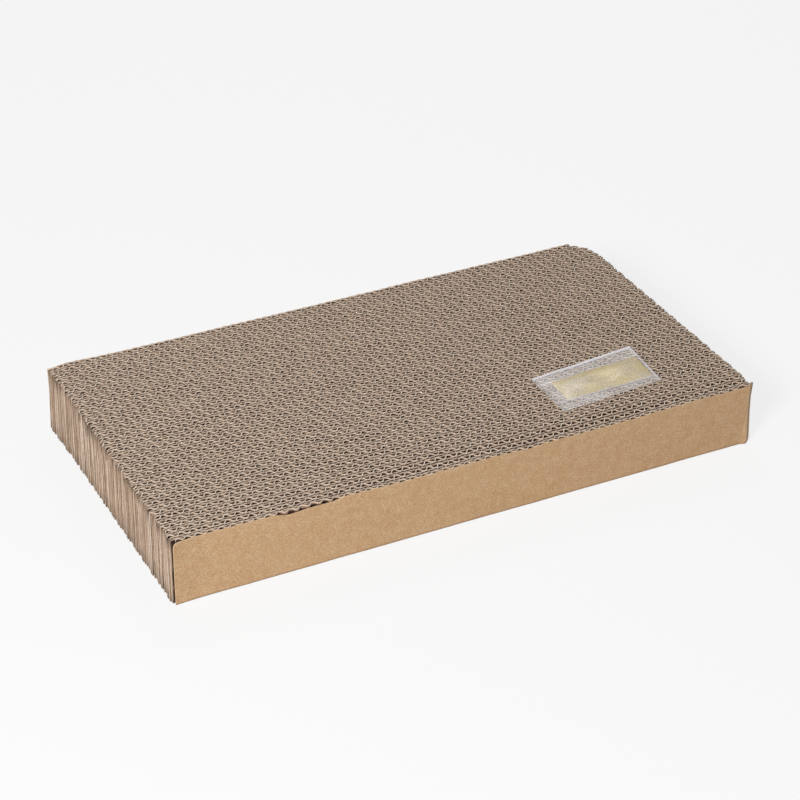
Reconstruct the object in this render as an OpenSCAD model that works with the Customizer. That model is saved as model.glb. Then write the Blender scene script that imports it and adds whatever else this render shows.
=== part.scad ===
// Flat cardboard cat scratcher: strips of double-wall corrugated board stand on edge, glued face
// to face, between two brown kraft faces. A clear sachet of ground catnip lies loose on top.
// X runs along the strips, Y across them, Z up. The origin is the centre of the underside.

/* [Pad] */
// Length of every strip
pad_length = 430; // [300:1:600]
// Width to fill with strips glued side by side, to the nearest whole strip
pad_width = 235; // [120:1:290]
// Height of the pad, which is the width that each strip is cut to
pad_height = 48; // [20:1:80]
// How far a strip may stand out of line at its ends
end_scatter = 0.5; // [0:0.1:3]
// Length of the knocked-in corner at the rear right, along the strips
corner_length = 21; // [5:1:40]
// Width of the same corner, across the strips
corner_width = 28; // [6:1:60]

/* [Corrugated board] */
// Thickness of each flat liner
liner_t = 0.3; // [0.2:0.05:0.6]
// Thickness of the fluted paper
medium_t = 0.25; // [0.15:0.05:0.5]
// Height of the wide flutes, between two liners
wide_rise = 3.1; // [2:0.05:4]
// Length of one wide flute
wide_pitch = 7.9; // [6:0.1:12]
// Height of the narrow flutes, between two liners
narrow_rise = 1.6; // [1.2:0.05:3]
// Length of one narrow flute
narrow_pitch = 6.27; // [5:0.01:9]
// How much the outermost flutes are crushed under the kraft sheets
outer_crush = 0.8; // [0:0.1:1.2]
// Glue line where a flute's tip meets a liner
bond_line = 0.02; // [0.01:0.01:0.1]
// Narrow flutes that each drawn wave stands for, which keeps the model light
flutes_per_wave = 3; // [1:1:4]

/* [Kraft faces] */
// Thickness of the brown kraft sheets on the front and rear
kraft_t = 0.4; // [0.3:0.05:0.8]
// Length at the left end where each sheet has come unstuck
peel_length = 26; // [10:1:60]
// How far the sheet has lifted off at its end
peel_gap = 1.5; // [0.2:0.1:4]
// Radius of the front sheet's worn corners
worn_radius = 2.5; // [0.5:0.1:6]
// Length of the front sheet that is bent in over the flutes at the right end
bent_length = 2.2; // [1:0.1:5]
// Gap between the bent edge and the next liner
bent_gap = 0.4; // [0.1:0.05:0.8]

/* [Catnip sachet] */
// Length of the pouch, from its end seal to its fold
sachet_length = 83; // [60:1:140]
// Width of the pouch over its two long seals
sachet_width = 47.5; // [35:0.5:90]
// Thickness of the clear film
film_t = 0.12; // [0.08:0.01:0.3]
// Width of the frosted end seal
end_seal = 10; // [4:0.5:20]
// Width of the ribbed seal along the rear edge
rear_seal = 10.7; // [6:0.1:16]
// Width of the ribbed seal along the front edge
front_seal = 9.3; // [6:0.1:16]
// Margin between the filled chamber and the folded end
fold_margin = 2.8; // [1:0.1:8]
// Thickness of the ground catnip at its middle
fill_height = 3; // [1:0.1:8]
// Thickness of the ground catnip at the rim of its chamber
rim_height = 0.3; // [0.1:0.1:0.9]
// Height of each rib pressed into the seals
rib_height = 0.15; // [0.05:0.05:0.4]
// Distance from one rib to the next
rib_pitch = 1.6; // [1:0.1:4]
// Length of one tooth of the pinked rear edge
tooth_pitch = 2; // [1:0.1:6]
// Depth of one tooth
tooth_depth = 0.8; // [0.2:0.1:2]
// Distance from the pad's right end to the pouch's centre
sachet_from_right = 94; // [50:0.5:220]
// Distance from the pad's front face to the pouch's centre
sachet_from_front = 52; // [30:0.5:120]
// Turn of the pouch on the pad
sachet_turn = 3; // [-30:1:30]
// Gap between the pouch and the pad below it
rest_gap = 0.3; // [0.2:0.05:1]
// Gap between the catnip and the films round it
fill_gap = 0.08; // [0.04:0.01:0.2]

/* [Hidden] */
strip_t = 3 * liner_t + wide_rise + narrow_rise;
strip_count = round(pad_width / strip_t);
core_width = strip_count * strip_t - 2 * outer_crush;
// The front sheet lies on the wide flutes of the first strip
first_rise = wide_rise - outer_crush;
// Each outer strip has a kraft sheet in place of its outermost liner, so the sheet's inner face
// is one liner in from the core's face
kraft_y = core_width / 2 - liner_t;

strip_numbers = [1:strip_count];
function strip_name(i) = str("strip_", i < 10 ? "0" : "", i);

kraft_brown = "#BF9B6C";
board_grey = "#A8957F";
film_clear = [0.85, 0.86, 0.88, 0.4];
catnip_cream = "#CFC49A";

// Straight pieces that draw the sheet's lift at its left end
peel_steps = 10;
// Straight pieces that draw one half of the pouch's domed section
dome_steps = 6;
// Shape of the dome: the higher the power, the flatter its top and the steeper its sides
dome_power = 3;
// Room for a trimming shape to run past what it trims
overrun = 1;

// A spread of values from -1 to 1 that doesn't repeat from strip to strip
golden_angle = 137.5;
end_shares = [for (i = strip_numbers) sin(i * golden_angle)];

// Where each strip's flutes start: the first fold at the front liner, in flute lengths from the
// left end, strip by strip from the front. The rows are cut from one sheet at random places.
wide_starts = [
    0.87, 0.70, 0.84, 0.52, 0.47, 0.28, 0.55, 0.65, 0.45, 0.30, 0.08, 0.07, 0.11, 0.53,
    0.53, 0.42, 0.02, 0.94, 0.48, 0.35, 0.19, 0.82, 0.92, 0.08, 0.85, 0.00, 0.80, 0.79,
    0.94, 0.73, 0.80, 0.11, 0.18, 0.85, 0.87, 0.59, 0.92, 0.03, 0.75, 0.67, 0.42, 0.12
];
narrow_starts = [
    0.69, 0.36, 0.73, 0.19, 0.36, 0.53, 0.16, 0.60, 0.09, 0.25, 0.81, 0.23, 0.39, 0.01,
    0.39, 0.71, 0.21, 0.39, 0.93, 0.30, 0.96, 0.25, 0.79, 0.22, 0.92, 0.90, 0.20, 0.73,
    0.14, 0.80, 0.40, 0.11, 0.53, 0.21, 0.47, 0.23, 0.03, 0.38, 0.03, 0.31, 0.56, 0.72
];
function wide_start(i) = wide_pitch * wide_starts[(i - 1) % len(wide_starts)] - pad_length / 2;
function narrow_start(i) =
    narrow_pitch * narrow_starts[(i - 1) % len(narrow_starts)] - pad_length / 2;

// Front face of strip i
function strip_y(i) = -core_width / 2 + (i - 1) * strip_t - (i > 1 ? outer_crush : 0);
function strip_shift(i) = end_scatter * end_shares[i - 1];
function strip_left(i) = strip_shift(i) - pad_length / 2;
// How much the knocked-in corner shortens a strip whose middle lies at y
function corner_cut(y) =
    let (into_share = (y - core_width / 2) / corner_width + 1)
    into_share <= 0 ? 0 : corner_length * (1 - sqrt(1 - pow(into_share, 2)));
function strip_right(i) =
    strip_shift(i) + pad_length / 2 - corner_cut(strip_y(i) + strip_t / 2);

// Height of a folded wave at x, as a share of its rise
function wave_share(x, pitch, phase) =
    let (turn = (x - phase) / pitch, part = turn - floor(turn))
    1 - abs(2 * part - 1);

// Points along a folded wave from x0 to x1: the two ends, and every fold between them
function wave_points(x0, x1, pitch, phase, rise) =
    let (
        first = floor(2 * (x0 - phase) / pitch) + 1,
        last = ceil(2 * (x1 - phase) / pitch) - 1,
        folds = [for (k = [first:last]) phase + k * pitch / 2],
        places = concat([x0], folds, [x1])
    )
    [for (x = places) [x, rise * wave_share(x, pitch, phase)]];

module fluted_sheet(x0, x1, rise, pitch, phase) {
    face = wave_points(x0, x1, pitch, phase, rise - 2 * bond_line - medium_t);
    back = [for (i = [len(face) - 1:-1:0]) face[i] + [0, medium_t]];
    translate([0, bond_line]) polygon(concat(face, back));
}

module liner(x0, x1, y) {
    translate([x0, y]) square([x1 - x0, liner_t]);
}

module strip(i) {
    x0 = strip_left(i);
    x1 = strip_right(i);
    // The front sheet bends round the end of the first strip's wide flutes
    wide_x1 = i == 1 ? x1 - bent_length : x1;
    this_wide = i == 1 ? first_rise : wide_rise;
    this_narrow = i == strip_count ? narrow_rise - outer_crush : narrow_rise;
    middle_y = liner_t + this_wide;
    narrow_y = middle_y + liner_t;
    color(board_grey)
    translate([0, strip_y(i)])
    linear_extrude(pad_height) {
        if (i > 1) liner(x0, x1, 0);
        translate([0, liner_t])
            fluted_sheet(x0, wide_x1, this_wide, wide_pitch, wide_start(i));
        liner(x0, x1, middle_y);
        translate([0, narrow_y])
            fluted_sheet(x0, x1, this_narrow, narrow_pitch * flutes_per_wave, narrow_start(i));
        if (i < strip_count) liner(x0, x1, narrow_y + this_narrow);
    }
}

// Inner face of a kraft sheet, seen from above: flat on the strips, then lifting off towards its
// left end. The lift grows with the square of the distance.
function peel_points(x0, x1) = concat(
    [for (k = [0:peel_steps])
        let (off_share = 1 - k / peel_steps)
        [x0 + peel_length * k / peel_steps, -peel_gap * pow(off_share, 2)]],
    [[x1, 0]]
);

// A sheet that follows the given points of its inner face, with its thickness towards the front
module standing_sheet(inner) {
    outer = [for (i = [len(inner) - 1:-1:0]) inner[i] - [0, kraft_t]];
    linear_extrude(pad_height) polygon(concat(inner, outer));
}

// The piece that a square corner loses when it is worn round, in the face's own plane
module worn_away() {
    rotate([90, 0, 0])
    linear_extrude(2 * (peel_gap + wide_rise + kraft_t), center = true)
    difference() {
        translate([-worn_radius - overrun, -worn_radius - overrun])
            square(worn_radius + overrun);
        circle(worn_radius);
    }
}

module front_kraft_face() {
    x0 = strip_left(1);
    x1 = strip_right(1);
    inner = concat(
        peel_points(x0, x1 - bent_length),
        [[x1, first_rise - bent_gap]]
    );
    color(kraft_brown)
    translate([0, -kraft_y])
    difference() {
        standing_sheet(inner);
        translate([x0 + worn_radius, 0, pad_height - worn_radius])
            mirror([0, 0, 1]) worn_away();
        translate([x1 - worn_radius, 0, worn_radius])
            mirror([1, 0, 0]) worn_away();
    }
}

module rear_kraft_face() {
    color(kraft_brown)
    translate([0, kraft_y])
    mirror([0, 1, 0])
        standing_sheet(peel_points(strip_left(strip_count), strip_right(strip_count)));
}

// The pouch's filled chamber, in the pouch's own frame, whose origin is the centre of its back
chamber_x0 = end_seal - sachet_length / 2;
chamber_x1 = sachet_length / 2 - fold_margin;
chamber_y0 = front_seal - sachet_width / 2;
chamber_y1 = sachet_width / 2 - rear_seal;

// Puts a piece of the pouch in its place on the pad
module on_pad() {
    translate([pad_length / 2 - sachet_from_right, sachet_from_front - core_width / 2,
               pad_height + rest_gap])
        rotate(sachet_turn) children();
}

// Section of a dome from a to b, with its flat base at 0: straight sides up to the rim's height,
// then an arch to the full height
module dome_section(a, b, rim, height) {
    half = (b - a) / 2;
    arch_shares = [for (k = [-dome_steps:dome_steps]) sin(90 * k / dome_steps)];
    arch = [for (s = arch_shares)
        [a + half + half * s, rim + (height - rim) * (1 - pow(abs(s), dome_power))]];
    polygon(concat([[a, 0]], arch, [[b, 0]]));
}

// A pillow over the chamber, grown by a margin on every side and raised by a thickness
module pillow(margin, raise) {
    x0 = chamber_x0 - margin;
    x1 = chamber_x1 + margin;
    y0 = chamber_y0 - margin;
    y1 = chamber_y1 + margin;
    intersection() {
        translate([0, y1]) rotate([90, 0, 0]) linear_extrude(y1 - y0)
            dome_section(x0, x1, rim_height + raise, fill_height + raise);
        translate([x0, 0]) rotate([90, 0, 90]) linear_extrude(x1 - x0)
            dome_section(y0, y1, rim_height + raise, fill_height + raise);
    }
}

// Outline of the pouch with the pinked edge at its rear
module film_outline() {
    teeth = round(sachet_length / tooth_pitch);
    tooth = sachet_length / teeth;
    pinked = [for (k = [0:2 * teeth])
        [sachet_length / 2 - tooth * k / 2, sachet_width / 2 - (k % 2 == 0 ? 0 : tooth_depth)]];
    polygon(concat(
        [[-sachet_length / 2, -sachet_width / 2], [sachet_length / 2, -sachet_width / 2]],
        pinked
    ));
}

// Section of a ribbed seal from a to b, with its flat underside at 0
module ribbed_section(a, b) {
    count = floor((b - a) / rib_pitch) - 1;
    start = (a + b - count * rib_pitch) / 2;
    crests = [for (k = [0:2 * count])
        [start + rib_pitch * k / 2, film_t + (k % 2 == 0 ? 0 : rib_height)]];
    polygon(concat([[start, 0]], crests, [[start + count * rib_pitch, 0]]));
}

// Ribs along a long seal, from the end seal to the fold
module long_seal_ribs(y0, y1) {
    translate([chamber_x0 - film_t, 0]) rotate([90, 0, 90])
        linear_extrude(sachet_length - end_seal + film_t) ribbed_section(y0, y1);
}

// Ribs across the pouch, along its end seal
module end_seal_ribs() {
    translate([0, sachet_width / 2 - tooth_depth]) rotate([90, 0, 0])
        linear_extrude(sachet_width - tooth_depth)
            ribbed_section(-sachet_length / 2, chamber_x0 - film_t);
}

module sachet_back_film() {
    color(film_clear) on_pad() linear_extrude(film_t) film_outline();
}

module catnip_fill() {
    color(catnip_cream) on_pad()
        translate([0, 0, film_t + fill_gap]) pillow(0, 0);
}

module sachet_front_film() {
    color(film_clear) on_pad() translate([0, 0, film_t])
    difference() {
        union() {
            linear_extrude(film_t) film_outline();
            long_seal_ribs(-sachet_width / 2, chamber_y0 - film_t);
            long_seal_ribs(chamber_y1 + film_t, sachet_width / 2 - tooth_depth);
            end_seal_ribs();
            pillow(fill_gap + film_t, 2 * fill_gap + film_t);
        }
        pillow(fill_gap, 2 * fill_gap);
    }
}

front_kraft_face();
rear_kraft_face();
for (i = strip_numbers)
    strip(i);
sachet_front_film();
sachet_back_film();
catnip_fill();
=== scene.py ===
"""Looks of a flat cardboard cat scratcher with a clear sachet of ground catnip on top.

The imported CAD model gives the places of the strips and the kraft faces. The board's sizes repeat
its values. Here each strip gets its real flutes, the kraft faces get their wear, and the sachet,
whose corners were measured on the photograph, gets its film, seals and filling.
Lengths are in millimetres while a mesh is made, and in metres once it is finished.
"""

import logging
import math
from dataclasses import dataclass
from enum import Enum
from typing import Any, Callable

import bmesh
import bpy
from mathutils import Matrix, Vector, noise

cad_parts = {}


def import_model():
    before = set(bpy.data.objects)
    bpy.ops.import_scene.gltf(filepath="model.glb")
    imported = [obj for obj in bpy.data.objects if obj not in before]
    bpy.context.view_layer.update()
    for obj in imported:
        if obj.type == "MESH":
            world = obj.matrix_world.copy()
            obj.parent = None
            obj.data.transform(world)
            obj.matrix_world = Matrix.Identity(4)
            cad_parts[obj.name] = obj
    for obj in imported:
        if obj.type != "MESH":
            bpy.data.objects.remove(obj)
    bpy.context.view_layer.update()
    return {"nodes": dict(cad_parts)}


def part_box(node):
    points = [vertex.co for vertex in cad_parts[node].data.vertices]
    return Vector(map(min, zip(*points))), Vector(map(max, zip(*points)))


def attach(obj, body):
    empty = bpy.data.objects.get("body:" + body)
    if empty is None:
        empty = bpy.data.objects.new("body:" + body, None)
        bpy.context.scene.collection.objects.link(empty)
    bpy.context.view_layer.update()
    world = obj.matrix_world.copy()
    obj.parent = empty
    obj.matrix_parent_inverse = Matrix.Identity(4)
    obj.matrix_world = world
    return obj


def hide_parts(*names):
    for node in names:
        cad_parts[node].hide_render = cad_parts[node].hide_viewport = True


MM = 0.001
# Share of a cut top edge's burr that a sheet's cut ends get
END_BURR = 0.3
LOG = logging.getLogger("cat_scratcher")
Colour = tuple[float, float, float, float]


# Where the flutes of each strip start: the first fold at the front liner, in flute lengths from
# the left end, strip by strip from the front. They are the same values as in the CAD model.
WIDE_STARTS = (
    0.87, 0.70, 0.84, 0.52, 0.47, 0.28, 0.55, 0.65, 0.45, 0.30, 0.08, 0.07, 0.11, 0.53,
    0.53, 0.42, 0.02, 0.94, 0.48, 0.35, 0.19, 0.82, 0.92, 0.08, 0.85, 0.00, 0.80, 0.79,
    0.94, 0.73, 0.80, 0.11, 0.18, 0.85, 0.87, 0.59, 0.92, 0.03, 0.75, 0.67, 0.42, 0.12,
)
NARROW_STARTS = (
    0.69, 0.36, 0.73, 0.19, 0.36, 0.53, 0.16, 0.60, 0.09, 0.25, 0.81, 0.23, 0.39, 0.01,
    0.39, 0.71, 0.21, 0.39, 0.93, 0.30, 0.96, 0.25, 0.79, 0.22, 0.92, 0.90, 0.20, 0.73,
    0.14, 0.80, 0.40, 0.11, 0.53, 0.21, 0.47, 0.23, 0.03, 0.38, 0.03, 0.31, 0.56, 0.72,
)


def linear(hex_colour: str) -> Colour:
    """Turn an sRGB hex colour into the linear values that a shader takes.

    Args:
        hex_colour: the colour as six hex digits, with or without a leading hash.

    Returns:
        Red, green, blue and an alpha of 1.
    """
    digits = hex_colour.lstrip("#")
    parts = [int(digits[i : i + 2], 16) / 255 for i in (0, 2, 4)]
    red, green, blue = (
        c / 12.92 if c <= 0.04045 else ((c + 0.055) / 1.055) ** 2.4 for c in parts
    )
    return (red, green, blue, 1.0)


def add_node(
    tree: bpy.types.NodeTree, kind: str, inputs: dict[Any, Any] | None = None, **settings: Any
) -> bpy.types.Node:
    """Add one node with its settings, its values and its links.

    Args:
        tree: the node tree that gets the node.
        kind: the node's type.
        inputs: a value or an output socket for each input, by name or number.
        **settings: the node's own settings.

    Returns:
        The new node.
    """
    node = tree.nodes.new(kind)
    for name, value in settings.items():
        setattr(node, name, value)
    for name, value in (inputs or {}).items():
        if isinstance(value, bpy.types.NodeSocket):
            tree.links.new(value, node.inputs[name])
        else:
            node.inputs[name].default_value = value
    return node


def ramp(
    tree: bpy.types.NodeTree, value: bpy.types.NodeSocket, start: float, end: float,
    low: float = 0.0, high: float = 1.0, **settings: Any,
) -> bpy.types.NodeSocket:
    """Map a value that goes from start to end onto low to high, and hold it beyond them.

    Args:
        tree: the node tree.
        value: the value to map.
        start: where the result is low.
        end: where the result is high, which may lie below the start.
        low: the result at the start.
        high: the result at the end.
        **settings: the node's own settings.

    Returns:
        The mapped value.
    """
    return add_node(tree, "ShaderNodeMapRange", {
        "Value": value, "From Min": start, "From Max": end, "To Min": low, "To Max": high,
    }, **settings).outputs["Result"]


def blend(
    tree: bpy.types.NodeTree, share: bpy.types.NodeSocket, first: Any, second: Any
) -> bpy.types.NodeSocket:
    """Go from a first colour to a second one by a share that varies over the surface."""
    return add_node(tree, "ShaderNodeMix", {0: share, 6: first, 7: second},
                    data_type="RGBA").outputs[2]


def combine(
    tree: bpy.types.NodeTree, operation: str, first: Any, second: Any = 0.0
) -> bpy.types.NodeSocket:
    """Work out a Math node's result from one or two values."""
    return add_node(tree, "ShaderNodeMath", {0: first, 1: second},
                    operation=operation).outputs[0]


def mottle(
    tree: bpy.types.NodeTree, place: bpy.types.NodeSocket, size: float, detail: float,
    roughness: float = 0.5,
) -> bpy.types.NodeSocket:
    """Make noise whose blotches are about as many millimetres wide as the size says."""
    return add_node(tree, "ShaderNodeTexNoise", {
        "Vector": place, "Scale": 1 / (size * MM), "Detail": detail, "Roughness": roughness,
    }).outputs[0]


def empty_material(name: str) -> tuple[bpy.types.Material, bpy.types.NodeTree, bpy.types.Node]:
    """Make a material with only its output node.

    Args:
        name: the material's name.

    Returns:
        The material, its node tree and the output node.
    """
    material = bpy.data.materials.new(name)
    material.use_nodes = True
    tree = material.node_tree
    tree.nodes.clear()
    return material, tree, add_node(tree, "ShaderNodeOutputMaterial")


def matt_surface(
    tree: bpy.types.NodeTree, output: bpy.types.Node, colour: bpy.types.NodeSocket,
    relief: bpy.types.NodeSocket, strength: float, depth: float, roughness: float,
) -> None:
    """Close a material with a matt surface that is a little rough to the eye.

    Args:
        tree: the material's node tree.
        output: its output node.
        colour: the surface's colour.
        relief: the pattern that raises the surface.
        strength: how much of the relief shows.
        depth: the relief's depth, in millimetres.
        roughness: the shader's roughness.
    """
    bump = add_node(tree, "ShaderNodeBump", {
        "Height": relief, "Strength": strength, "Distance": depth * MM})
    shader = add_node(tree, "ShaderNodeBsdfPrincipled", {
        "Base Color": colour, "Roughness": roughness, "Normal": bump.outputs[0]})
    tree.links.new(shader.outputs[0], output.inputs[0])


# Where this is called, a place is divided by the waves' size in millimetres or multiplied by
# their number, and a bare number only keeps one pattern apart from the next.
def ripple(x: float, y: float, z: float = 0.0) -> float:
    """Smooth noise from about -1 to 1, the same on every run."""
    return noise.noise(Vector((x, y, z)))


def smooth_step(value: float, low: float, high: float) -> float:
    """Rise smoothly from 0 to 1 as the value goes from low to high, or fall if low is higher.

    Args:
        value: the value to place between the two ends.
        low: where the step is 0.
        high: where the step is 1.

    Returns:
        The share of the step that the value has taken.
    """
    share = min(max((value - low) / (high - low), 0.0), 1.0)
    return share * share * (3 - 2 * share)


def row_height(rows: tuple[float, ...], up: float) -> float:
    """Find the share of a sheet's height at which the row of a regular grid is to lie."""
    return rows[round(up * (len(rows) - 1))]


def along(points: tuple[tuple[float, float], ...], place: float) -> float:
    """Read a profile that is given by a few points, smoothed between them.

    Args:
        points: pairs of place and height, in rising order of place.
        place: where to read it.

    Returns:
        The profile's height there.
    """
    if place <= points[0][0]:
        return points[0][1]
    for (a, low), (b, high) in zip(points, points[1:]):
        if place <= b:
            return low + (high - low) * smooth_step(place, a, b)
    return points[-1][1]


def add_sheet(
    bm: bmesh.types.BMesh,
    columns: int,
    rows: int,
    place: Callable[[float, float], Vector],
    mark: Callable[[float, float], tuple[float, float]],
    uv_name: str = "cut",
    finish: int = 0,
    fuzzy: float = 1.0,
) -> None:
    """Add a grid to a mesh, lay it out as a sheet and mark its points in a UV map.

    On the map named "cut", the two values are the distances from the sheet's cut end and from
    its cut top, in millimetres, and the points on those cuts get the burr's weight.

    Args:
        bm: the mesh that gets the sheet.
        columns: faces along the sheet.
        rows: faces up the sheet.
        place: gives the point, in millimetres, for the shares along and up the sheet.
        mark: gives the point's two values on the UV map for the same shares.
        uv_name: the UV map's name.
        finish: the number of the material that its faces get.
        fuzzy: share of the burr that its cut edges get.
    """
    uvs = bm.loops.layers.uv.get(uv_name) or bm.loops.layers.uv.new(uv_name)
    weights = bm.verts.layers.deform.verify()
    grid = bmesh.ops.create_grid(bm, x_segments=columns, y_segments=rows, size=1)
    marks = {}
    faces = set()
    for vertex in grid["verts"]:
        across, up = vertex.co.x / 2 + 0.5, vertex.co.y / 2 + 0.5
        marks[vertex] = mark(across, up)
        vertex.co = place(across, up)
        if uv_name == "cut" and up > 0.999:
            vertex[weights][0] = fuzzy
        elif uv_name == "cut" and abs(across - 0.5) > 0.499:
            vertex[weights][0] = END_BURR * fuzzy
        faces.update(vertex.link_faces)
    for face in faces:
        face.material_index = finish
        for loop in face.loops:
            loop[uvs].uv = marks[loop.vert]


def finish_piece(
    bm: bmesh.types.BMesh,
    name: str,
    body: str,
    nodes: list[str],
    materials: list[bpy.types.Material],
    wall: float = 0.0,
    burr: float = 0.0,
) -> bpy.types.Object:
    """Turn a mesh in millimetres into a piece that rides on its body.

    Args:
        bm: the mesh, which is freed.
        name: the piece's name.
        body: the body that carries it.
        nodes: the CAD nodes that it stands for.
        materials: the faces' materials, and then as many for their cut edges, if it has a wall.
        wall: thickness that a modifier gives to an open sheet, in millimetres.
        burr: thickness of its cut edges, where the mesh marks them, in millimetres.

    Returns:
        The new object.
    """
    bmesh.ops.scale(bm, vec=(MM, MM, MM), verts=bm.verts[:])
    for face in bm.faces:
        face.smooth = True
    mesh = bpy.data.meshes.new(name)
    bm.to_mesh(mesh)
    bm.free()
    piece = bpy.data.objects.new(name, mesh)
    bpy.context.scene.collection.objects.link(piece)
    for material in materials:
        mesh.materials.append(material)
    if wall:
        solid = piece.modifiers.new("paper thickness", "SOLIDIFY")
        solid.thickness = max(wall, burr) * MM
        if burr:
            solid.vertex_group = piece.vertex_groups.new(name="cut edge").name
            solid.thickness_vertex_group = wall / burr
        solid.offset = 0
        solid.use_rim = True
        solid.material_offset_rim = len(materials) // 2
    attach(piece, body)
    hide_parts(*nodes)
    LOG.info("%s: %d faces before its wall", name, len(mesh.polygons))
    return piece


@dataclass(frozen=True)
class RecycledBoardPaper:
    """Recycled fluting and liner paper: matt, greyish tan, with short fibres and dark flecks.

    The papers stand only a few millimetres apart, so the light dies out soon below the cut
    edges. That shade is painted: their faces are painted browner there than near the top and the
    ends. Depths and sizes are in millimetres. The fibres of real paper are 1 to 3 mm long but only
    0.03 mm wide, so the flecks and the streaks of crushed ends are drawn coarser than real.
    """

    name: str = "recycled fluting"
    face: str = "#B99D86"
    # Colour of the painted shade deep down inside the flutes
    depth: str = "#2F180A"
    frayed: str = "#EAD3BD"
    fleck: str = "#8B6F58"
    # Depths below the top cut where the painted shade starts and where it is full
    painted_shade_start: float = 0.5
    painted_shade_full: float = 1.3
    fray_depth: float = 0.18
    frayed_through: float = 0.05
    top_fray: float = 0.7
    # Distances from a cut end where the painted light and the pale fray start and are full, and
    # the most that they come to. The fray starts at the same distance as on top.
    end_lit: tuple[float, float, float] = (2.4, 0.3, 0.66)
    end_fray: tuple[float, float] = (0.02, 0.5)
    fluff: float = 3.5
    fluff_spread: float = 0.45
    fibre: float = 0.9
    flecks: tuple[float, float, float] = (0.58, 0.75, 0.5)
    streak: tuple[float, float, float] = (6.0, 0.9, 12.0)
    streak_shades: tuple[float, float] = (0.74, 1.18)

    def material(self) -> bpy.types.Material:
        """Make the finish of the papers' faces, with painted shade that darkens them inside the
        flutes.

        Returns:
            The material.
        """
        material, tree, output = empty_material(self.name)
        place = add_node(tree, "ShaderNodeTexCoord").outputs["Object"]
        fluff = ramp(tree, mottle(tree, place, self.fluff, 1.0), 0.3, 0.7,
                     1 - self.fluff_spread, 1 + self.fluff_spread)
        uneven = add_node(tree, "ShaderNodeVectorMath", {
            0: add_node(tree, "ShaderNodeUVMap", uv_map="cut").outputs[0], "Scale": fluff},
            operation="SCALE").outputs[0]
        cut = add_node(tree, "ShaderNodeSeparateXYZ", {0: uneven}).outputs

        def near_cut(socket: str, far: float, close: float, most: float) -> bpy.types.NodeSocket:
            """Rise from 0 at one distance from a cut to the most at a closer one."""
            return ramp(tree, cut[socket], far, close, 0.0, most,
                        interpolation_type="SMOOTHSTEP")

        # Share left unshaded: painted shade below the top cut, lifted by painted light near the
        # cut ends
        lit = combine(tree, "MAXIMUM", near_cut("Y", self.painted_shade_full, self.painted_shade_start, 1.0),
                      near_cut("X", *self.end_lit))
        fray = combine(tree, "MAXIMUM",
                       near_cut("Y", self.fray_depth, self.frayed_through, self.top_fray),
                       near_cut("X", self.fray_depth, *self.end_fray))
        fibres = mottle(tree, place, self.fibre, 3.0, 0.6)
        drawn = add_node(tree, "ShaderNodeMapping", {
            "Vector": place, "Scale": tuple(1 / (size * MM) for size in self.streak)})
        streaks = add_node(tree, "ShaderNodeTexNoise", {
            "Vector": drawn.outputs[0], "Scale": 1.0, "Detail": 2.0}).outputs[0]
        # The face colour goes over to the painted shade's dark brown where the unshaded share
        # falls
        face_and_painted_shade = blend(tree, lit, linear(self.depth), linear(self.face))
        start, end, most = self.flecks
        flecked = blend(tree, ramp(tree, fibres, start, end, 0.0, most), face_and_painted_shade,
                        linear(self.fleck))
        shade = ramp(tree, streaks, 0.3, 0.7, *self.streak_shades)
        shaded = add_node(tree, "ShaderNodeVectorMath", {0: flecked, "Scale": shade},
                          operation="SCALE").outputs[0]
        colour = blend(tree, fray, shaded, linear(self.frayed))
        matt_surface(tree, output, colour, fibres, 0.35, 0.15, 0.9)
        return material


@dataclass(frozen=True)
class CutPaperEdge:
    """Sawn edge of the board: pale torn fibres, a little fuzzy and uneven.

    The tufts of a real sawn edge are under 1 mm wide. Here they are drawn coarser, 1.6 mm.
    """

    name: str = "cut fluting edge"
    pale: str = "#F6E7D7"
    dull: str = "#D0B8A1"
    fuzz: float = 1.6

    def material(self) -> bpy.types.Material:
        """Make the finish of the cut edges.

        Returns:
            The material.
        """
        material, tree, output = empty_material(self.name)
        place = add_node(tree, "ShaderNodeTexCoord").outputs["Object"]
        fuzz = mottle(tree, place, self.fuzz, 3.0, 0.65)
        colour = blend(tree, ramp(tree, fuzz, 0.35, 0.62), linear(self.dull), linear(self.pale))
        matt_surface(tree, output, colour, fuzz, 0.5, 0.2, 0.95)
        return material


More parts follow.
